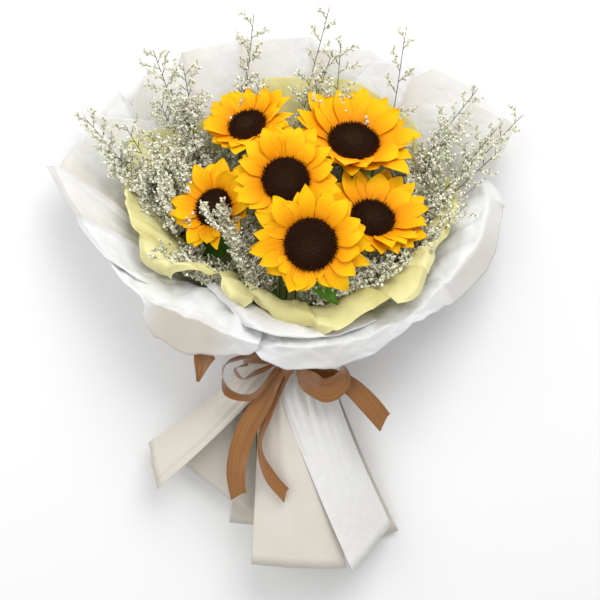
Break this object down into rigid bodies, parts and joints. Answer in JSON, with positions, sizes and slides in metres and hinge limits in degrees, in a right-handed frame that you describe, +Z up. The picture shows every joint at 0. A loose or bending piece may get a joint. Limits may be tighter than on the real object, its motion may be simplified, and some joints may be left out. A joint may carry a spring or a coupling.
{
  "type": "bunch of sunflowers in a paper wrapper",
  "caption": "Hand-tied bunch of sunflowers with sea lavender, lying on its back in flared white paper with a pale green liner, a brown satin bow and a spread paper skirt.",
  "frame": {"origin": "on the table below the middle of the bunch's box, the bunch lying on its back", "axes": "+Z up from the table towards the flowers' faces; +Y along the bunch, from the cut stem ends to the flowers; +X across it"},
  "size_m": [0.4971, 0.6006, 0.177],
  "materials": {
    "white_paper": "matt frosted wrapping paper",
    "pale_green_paper": "matt pale yellow-green tissue",
    "sunflower_petal": "fresh golden ray petal",
    "sunflower_disc": "dark brown florets, rough",
    "sunflower_bract": "green bracts",
    "sunflower_stem": "fresh green stem",
    "sea_lavender": "dry silvery florets on thin stems",
    "leaf": "fresh green leaf",
    "string": "jute twine",
    "brown_satin": "satin ribbon"
  },
  "bodies": {
    "root": {"wrap_back": "white_paper", "wrap_left_front": "white_paper", "wrap_back_right": "white_paper", "wrap_left": "white_paper", "wrap_right": "white_paper", "wrap_front": "white_paper", "liner_back": "pale_green_paper", "liner_left": "pale_green_paper", "liner_right": "pale_green_paper", "sunflower_1_disc": "sunflower_disc", "sunflower_1_bracts": "sunflower_bract", "sunflower_1_petals": "sunflower_petal", "sunflower_1_stem": "sunflower_stem", "sunflower_2_disc": "sunflower_disc", "sunflower_2_bracts": "sunflower_bract", "sunflower_2_petals": "sunflower_petal", "sunflower_2_stem": "sunflower_stem", "sunflower_3_disc": "sunflower_disc", "sunflower_3_bracts": "sunflower_bract", "sunflower_3_petals": "sunflower_petal", "sunflower_3_stem": "sunflower_stem", "sunflower_4_disc": "sunflower_disc", "sunflower_4_bracts": "sunflower_bract", "sunflower_4_petals": "sunflower_petal", "sunflower_4_stem": "sunflower_stem", "sunflower_5_disc": "sunflower_disc", "sunflower_5_bracts": "sunflower_bract", "sunflower_5_petals": "sunflower_petal", "sunflower_5_stem": "sunflower_stem", "sunflower_6_disc": "sunflower_disc", "sunflower_6_bracts": "sunflower_bract", "sunflower_6_petals": "sunflower_petal", "sunflower_6_stem": "sunflower_stem", "sea_lavender_1": "sea_lavender", "sea_lavender_2": "sea_lavender", "sea_lavender_3": "sea_lavender", "sea_lavender_4": "sea_lavender", "sea_lavender_5": "sea_lavender", "sea_lavender_6": "sea_lavender", "sea_lavender_7": "sea_lavender", "sea_lavender_8": "sea_lavender", "sea_lavender_9": "sea_lavender", "sea_lavender_10": "sea_lavender", "sea_lavender_11": "sea_lavender", "sea_lavender_12": "sea_lavender", "sea_lavender_13": "sea_lavender", "leaf_1": "leaf", "leaf_2": "leaf", "leaf_3": "leaf", "stem_string": "string", "ribbon_band": "brown_satin", "ribbon_knot": "brown_satin", "ribbon_loop_left": "brown_satin", "ribbon_loop_inner": "brown_satin", "ribbon_loop_right": "brown_satin", "ribbon_tail_long": "brown_satin", "ribbon_tail_middle": "brown_satin", "ribbon_tail_right": "brown_satin", "ribbon_tail_left": "brown_satin"}
  },
  "joints": []
}
